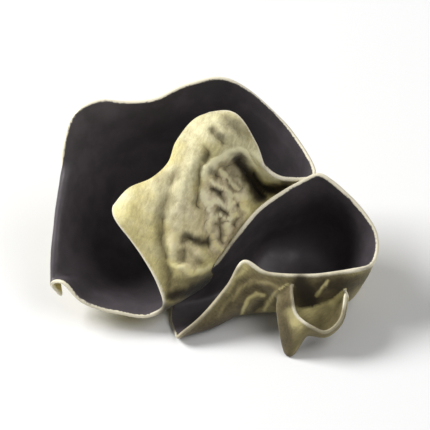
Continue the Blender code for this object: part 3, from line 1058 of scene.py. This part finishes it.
def felted_back(finish, felt):
    """Dull cream felt of the back, the folds and the rim."""
    dull = {"Roughness": 0.9, "Specular IOR Level": 0.2}
    downy = {"Sheen Weight": 0.15, "Sheen Roughness": 0.45}
    material, graph, shader = plain_material("felted_back", dull | downy)
    cover = felt_cover(graph, felt, finish)
    graph.feed(shader["Base Color"], cover["Color"])
    graph.feed(shader["Normal"], relief(graph, cover["Height"], 0.7, 0.25))
    return material


def dark_inner_face(finish, felt):
    """Smooth near-black skin of the inner face, which turns into the felt's rim at its edge."""
    material, graph, shader = plain_material("dark_inner_face", {"Specular IOR Level": 0.35})
    in_mm = graph.place_in_mm()
    cloud = graph.noise(in_mm, 0.22, 3.0, 0.55)
    grain = graph.noise(in_mm, 2.4, 3.0, 0.6)
    dark = graph.mix(graph.spread(cloud, 0.35, 0.7), (*finish.black, 1.0), (*finish.bloom, 1.0))
    edge = graph.math("ADD", graph.attribute("rim"), graph.sway(grain, 0.08))
    edge = graph.math("ADD", edge, graph.sway(cloud, 0.14))
    past_rim = graph.spread(edge, 0.14, 0.38)
    skin = graph.mix(past_rim, felt_cover(graph, felt, finish)["Color"], dark)
    graph.feed(shader["Base Color"], skin)
    dull, glossy = finish.dullness + 0.1, finish.dullness - 0.05
    graph.feed(shader["Roughness"], graph.spread(cloud, *NOISE_SPREAD, dull, glossy))
    graph.feed(shader["Normal"], relief(graph, grain, 0.25, 0.1))
    return material


def amount(name, description, default, low, high):
    """A number that the user can change."""
    return FloatProperty(name=name, description=description, default=default, min=low, max=high)


def colour(name, description, default):
    """A colour that the user can change."""
    return FloatVectorProperty(
        name=name, description=description, subtype="COLOR", default=default, min=0.0, max=1.0
    )


class WoodEarShape(bpy.types.PropertyGroup):
    flesh: amount("Flesh", "Thickness of the sheet, in mm", 1.3, 0.4, 3.0)
    rounding: amount("Rim rounding", "How wide the rounding of the rim is, in mm", 0.45, 0.1, 1.5)
    detail: amount("Detail", "How close the points of the sheet are, as a share", 1.0, 0.2, 1.2)
    blend: amount("Growth", "How far the lobes' joins are rounded, in mm", 1.2, 0.0, 4.0)


class WoodEarFinish(bpy.types.PropertyGroup):
    pale: colour("Pale felt", "Lightest colour of the felted back", (0.78, 0.73, 0.46))
    yellow: colour("Yellow felt", "Lightest colour low down", (0.72, 0.64, 0.29))
    rim: colour("Rim", "Colour of the rim", (0.72, 0.67, 0.53))
    scar: colour("Scar", "Lightest colour of the scar", (0.73, 0.63, 0.47))
    shade: colour("Shaded felt", "Darkest colour of the felted back", (0.27, 0.215, 0.10))
    # Brown is also the painted shade under the lip, in the pocket and on the cup's shaded walls
    brown: colour(
        "Brown stain", "Colour of the scar's pits and the lower lip", (0.030, 0.022, 0.012)
    )
    black: colour("Black", "Darkest colour of the inner face", (0.054, 0.047, 0.051))
    bloom: colour("Bloom", "Lighter cloud on the inner face", (0.078, 0.066, 0.073))
    dullness: amount("Dullness", "Roughness of the inner face", 0.45, 0.1, 1.0)


class WoodEarStage(bpy.types.PropertyGroup):
    floor: colour("Floor", "Colour of the floor", (0.68, 0.68, 0.68))
    elevation: FloatProperty(
        name="Elevation", description="How high the camera looks from",
        default=LEAN_BACK, subtype="ANGLE",
    )
    distance: FloatProperty(
        name="Distance", description="From the camera to the ear", default=0.69, unit="LENGTH"
    )
    lens: FloatProperty(name="Lens", description="Focal length, in mm", default=300.0)


SETTINGS = {
    "wood_ear_shape": WoodEarShape,
    "wood_ear_finish": WoodEarFinish,
    "wood_ear_stage": WoodEarStage,
}


class WOODEAR_OT_flesh(bpy.types.Operator):
    """Builds the fruit body in place of the plain solid"""

    bl_idname = "wood_ear.flesh"
    bl_label = "Fruit body"

    def execute(self, context):
        flesh = build_flesh(context.scene.wood_ear_shape)
        felt = felt_group()
        finish = context.scene.wood_ear_finish
        flesh.data.materials.append(dark_inner_face(finish, felt))
        flesh.data.materials.append(felted_back(finish, felt))
        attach(flesh, "root")
        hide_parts("fruit_body")
        return {"FINISHED"}


class WOODEAR_OT_stage(bpy.types.Operator):
    """Sets the floor, the soft light and the camera"""

    bl_idname = "wood_ear.stage"
    bl_label = "Stage"

    def execute(self, context):
        settings = context.scene.wood_ear_stage
        low, high = (Vector(corner) for corner in CAD_BOX)
        middle = (low + high) / 2
        self.floor(settings)
        self.lights(context, middle)
        self.camera(context, settings, middle)
        return {"FINISHED"}

    def floor(self, settings):
        mesh = bpy.data.meshes.new("floor")
        bm = bmesh.new()
        bmesh.ops.create_grid(bm, x_segments=1, y_segments=1, size=FLOOR_HALF_SIZE)
        bm.to_mesh(mesh)
        bm.free()
        floor = placed("floor", mesh)
        matt = {"Roughness": 0.8, "Specular IOR Level": 0.1}
        matt["Base Color"] = (*settings.floor, 1.0)
        mesh.materials.append(plain_material("pale_floor", matt)[0])

    def lights(self, context, middle):
        for name, spot, size, power in LAMPS:
            lamp = bpy.data.lights.new(name, "AREA")
            lamp.size = size
            lamp.energy = power
            obj = placed(name, lamp)
            obj.location = middle + Vector(spot)
            obj.rotation_euler = (-Vector(spot)).to_track_quat("-Z", "Y").to_euler()
        world = bpy.data.worlds.new("pale_room")
        context.scene.world = world
        world.use_nodes = True
        sky = world.node_tree.nodes["Background"]
        sky.inputs["Color"].default_value = (1.0, 1.0, 1.0, 1.0)
        sky.inputs["Strength"].default_value = SKY_STRENGTH
        context.scene.view_settings.view_transform = "Standard"

    def camera(self, context, settings, middle):
        back = Vector((0.0, -math.cos(settings.elevation), math.sin(settings.elevation)))
        camera = bpy.data.cameras.new("camera")
        camera.lens = settings.lens
        camera.sensor_width = 36.0
        camera.clip_start = 0.05
        camera.clip_end = 10.0
        obj = placed("camera", camera)
        obj.location = middle + back * settings.distance
        obj.rotation_euler = (-back).to_track_quat("-Z", "Y").to_euler()
        context.scene.camera = obj


class WOODEAR_PT_sidebar(bpy.types.Panel):
    bl_idname = "WOODEAR_PT_sidebar"
    bl_label = "Wood ear mushroom"
    bl_space_type = "VIEW_3D"
    bl_region_type = "UI"
    bl_category = "Wood ear"

    def draw(self, context):
        layout = self.layout
        for settings in SETTINGS:
            group = getattr(context.scene, settings)
            column = layout.column()
            for name in group.__annotations__:
                column.prop(group, name)
        for operator in (WOODEAR_OT_flesh, WOODEAR_OT_stage):
            layout.operator(operator.bl_idname)


CLASSES = (*SETTINGS.values(), WOODEAR_OT_flesh, WOODEAR_OT_stage, WOODEAR_PT_sidebar)


def register():
    for cls in CLASSES:
        bpy.utils.register_class(cls)
    for settings, group in SETTINGS.items():
        setattr(bpy.types.Scene, settings, PointerProperty(type=group))


def unregister():
    for settings in SETTINGS:
        delattr(bpy.types.Scene, settings)
    for cls in reversed(CLASSES):
        bpy.utils.unregister_class(cls)


def main():
    register()
    bpy.ops.wood_ear.flesh()
    bpy.ops.wood_ear.stage()


if __name__ == "__main__":
    main()
